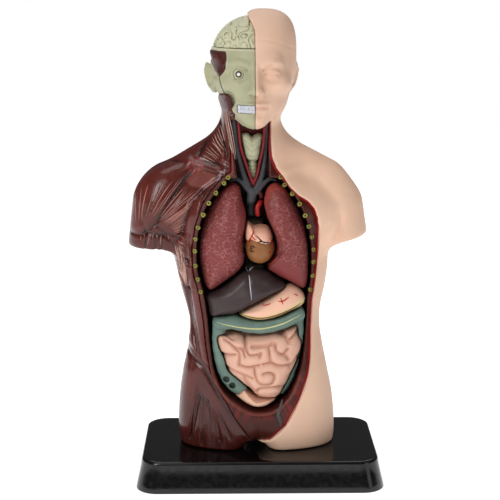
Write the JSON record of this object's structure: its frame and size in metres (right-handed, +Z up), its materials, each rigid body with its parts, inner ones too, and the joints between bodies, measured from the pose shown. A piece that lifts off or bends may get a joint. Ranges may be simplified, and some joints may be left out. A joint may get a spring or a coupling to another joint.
{
  "type": "torso anatomy model",
  "caption": "Desk-size human torso on a stand, one side skin and the other side muscle, with a front cavity of organs and half a brain that lift out.",
  "frame": {"origin": "under the middle of the body, on the table the stand rests on, within a millimetre of the middle of the whole footprint", "axes": "+Z up, the figure faces -Y, +X to the figure's own left, which is the skin side"},
  "size_m": [0.1522, 0.086, 0.28],
  "materials": {
    "stand_black": "polished black moulding",
    "screw_steel": "zinc plated",
    "muscle_paint": "dark red-brown lacquer with pale tendons brushed on",
    "skin_plastic": "smooth satin moulding",
    "lining_paint": "dark red lacquer, with rib ends painted yellow-green",
    "bone_plastic": "pale green-grey satin",
    "tooth_white": "white lacquer",
    "vein_paint": "dark grey lacquer",
    "artery_paint": "red lacquer",
    "lung_paint": "dusky red with a pale net brushed on",
    "heart_paint": "peach above and ochre brown below, with painted vessels",
    "liver_paint": "nearly black brown lacquer",
    "stomach_paint": "peach lacquer with painted vessels",
    "colon_paint": "grey-green lacquer with a pale band",
    "bowel_paint": "pink satin",
    "kidney_paint": "brown-red lacquer"
  },
  "bodies": {
    "torso": {"base_stand": "stand_black", "base_screw_right": "screw_steel", "base_screw_left": "screw_steel", "torso_muscle_shell": "muscle_paint", "torso_skin_shell": "skin_plastic", "cavity_tub": "lining_paint", "head_skin_half": "skin_plastic", "head_skull_half": "bone_plastic", "temple_muscle": "muscle_paint", "cheek_muscle": "muscle_paint", "teeth": "tooth_white", "eyeball": "tooth_white", "larynx": "bone_plastic", "windpipe": "bone_plastic", "great_veins": "vein_paint", "carotid_arteries": "artery_paint", "aortic_arch": "artery_paint", "lung_right_back": "lung_paint", "lung_left_back": "lung_paint", "spine_column": "bone_plastic", "kidney_right": "kidney_paint", "kidney_left": "kidney_paint"},
    "right_lung": {"lung_right_front": "lung_paint"},
    "left_lung": {"lung_left_front": "lung_paint"},
    "heart": {"heart": "heart_paint"},
    "liver": {"liver": "liver_paint"},
    "stomach": {"stomach": "stomach_paint"},
    "bowel": {"large_intestine": "colon_paint", "small_intestine": "bowel_paint", "rectum_turn": "bowel_paint"},
    "brain": {"brain_half": "bone_plastic"}
  },
  "joints": [
    {"name": "right_lung_out", "type": "slide", "parent": "torso", "child": "right_lung", "axis": [0, -1, 0], "range_m": [0, 0.06]},
    {"name": "left_lung_out", "type": "slide", "parent": "torso", "child": "left_lung", "axis": [0, -1, 0], "range_m": [0, 0.06]},
    {"name": "heart_out", "type": "slide", "parent": "torso", "child": "heart", "axis": [0, -1, 0], "range_m": [0, 0.06]},
    {"name": "liver_out", "type": "slide", "parent": "torso", "child": "liver", "axis": [0, -1, 0], "range_m": [0, 0.06]},
    {"name": "stomach_out", "type": "slide", "parent": "torso", "child": "stomach", "axis": [0, -1, 0], "range_m": [0, 0.06]},
    {"name": "bowel_out", "type": "slide", "parent": "torso", "child": "bowel", "axis": [0, -1, 0], "range_m": [0, 0.06]},
    {"name": "brain_off", "type": "slide", "parent": "torso", "child": "brain", "axis": [-0.6, 0, 0.8], "range_m": [0, 0.05]}
  ]
}
